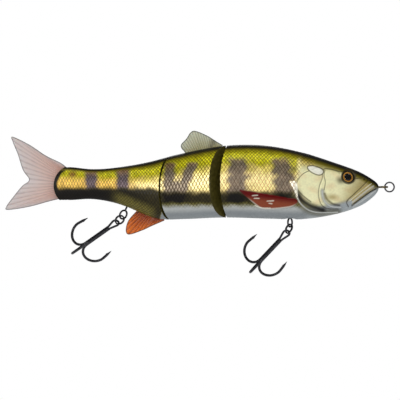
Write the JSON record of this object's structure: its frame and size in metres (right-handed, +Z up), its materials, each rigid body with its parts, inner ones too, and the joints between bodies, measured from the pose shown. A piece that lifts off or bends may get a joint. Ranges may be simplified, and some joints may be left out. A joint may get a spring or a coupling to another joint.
{
  "type": "jointed swimbait",
  "caption": "Three-section jointed fishing lure shaped and painted as a fish, with soft fins, a nose ring and two treble hooks on swivelling hangers.",
  "frame": {"origin": "centre of the line-tie eye in front of the nose", "axes": "+X forward out of the nose along the fish, +Z up towards the back fin, +Y to the fish's left side"},
  "size_m": [0.2081, 0.0326, 0.0782],
  "materials": {
    "front_shell": "gloss painted and clear coated moulded shell",
    "middle_shell": "gloss painted and clear coated moulded shell",
    "rear_shell": "gloss painted and clear coated moulded shell",
    "eye_iris": "metallic gold disc with a black pupil",
    "eye_lens": "clear domed lens",
    "tie_wire": "plated wire",
    "ring_steel": "black nickel plated spring steel",
    "hook_steel": "black nickel plated hook wire",
    "hinge_steel": "stainless wire",
    "sleeve_brass": "turned brass",
    "ballast": "cast weight",
    "dorsal_fin": "soft translucent ribbed fin",
    "anal_fin": "soft orange ribbed fin",
    "tail_fin": "soft translucent ribbed tail"
  },
  "bodies": {
    "front_section": {"front_shell_right": "front_shell", "front_shell_left": "front_shell", "right_eye_iris": "eye_iris", "left_eye_iris": "eye_iris", "right_eye_lens": "eye_lens", "left_eye_lens": "eye_lens", "line_tie_eye": "tie_wire", "front_ballast": "ballast", "front_hook_sleeve": "sleeve_brass", "front_joint_upper_eye": "hinge_steel", "front_joint_lower_eye": "hinge_steel"},
    "tie_ring": {"line_tie_ring": "ring_steel"},
    "front_hanger": {"front_hook_hanger": "hook_steel"},
    "front_ring": {"front_hook_ring": "ring_steel"},
    "front_treble": {"front_treble_hook": "hook_steel"},
    "middle_section": {"middle_shell_right": "middle_shell", "middle_shell_left": "middle_shell", "dorsal_fin": "dorsal_fin", "middle_ballast": "ballast", "front_joint_pin": "hinge_steel", "rear_joint_upper_eye": "hinge_steel", "rear_joint_lower_eye": "hinge_steel"},
    "rear_section": {"rear_shell_right": "rear_shell", "rear_shell_left": "rear_shell", "anal_fin": "anal_fin", "tail_fin": "tail_fin", "rear_ballast": "ballast", "rear_joint_pin": "hinge_steel", "rear_hook_sleeve": "sleeve_brass"},
    "rear_hanger": {"rear_hook_hanger": "hook_steel"},
    "rear_ring": {"rear_hook_ring": "ring_steel"},
    "rear_treble": {"rear_treble_hook": "hook_steel"}
  },
  "joints": [
    {"name": "front_joint_hinge", "type": "hinge", "parent": "front_section", "child": "middle_section", "pos_m": [-0.0877, 0, 0], "axis": [0, 0, 1], "range_deg": [-6.5, 28.5]},
    {"name": "rear_joint_hinge", "type": "hinge", "parent": "middle_section", "child": "rear_section", "pos_m": [-0.11813, 0.00592, 0], "axis": [0, 0, 1], "range_deg": [-27, 5]},
    {"name": "tie_ring_swing", "type": "hinge", "parent": "front_section", "child": "tie_ring", "pos_m": [0.0019, 0, 0], "axis": [0, 1, 0], "range_deg": [-90, 90]},
    {"name": "front_hanger_spin", "type": "hinge", "parent": "front_section", "child": "front_hanger", "pos_m": [-0.0499, 0, -0.01715], "axis": [0, 0, 1], "continuous": true},
    {"name": "front_ring_swing", "type": "hinge", "parent": "front_hanger", "child": "front_ring", "pos_m": [-0.0499, 0, -0.02119], "axis": [0.5, 0.866, 0], "range_deg": [-75, 12]},
    {"name": "front_treble_swing", "type": "hinge", "parent": "front_ring", "child": "front_treble", "pos_m": [-0.05166, 0, -0.02442], "axis": [-0.5035, 0.8192, 0.2747], "range_deg": [-55, 10]},
    {"name": "rear_hanger_spin", "type": "hinge", "parent": "rear_section", "child": "rear_hanger", "pos_m": [-0.13703, 0.00592, -0.01053], "axis": [0.4191, 0, 0.908], "range_deg": [-80, 80]},
    {"name": "rear_ring_swing", "type": "hinge", "parent": "rear_hanger", "child": "rear_ring", "pos_m": [-0.13994, 0.00592, -0.01684], "axis": [0.664, 0.682, -0.3065], "range_deg": [-45, 10]},
    {"name": "rear_treble_swing", "type": "hinge", "parent": "rear_ring", "child": "rear_treble", "pos_m": [-0.14288, 0.00592, -0.01904], "axis": [-0.4915, 0.5736, 0.6553], "range_deg": [-40, 10]}
  ]
}
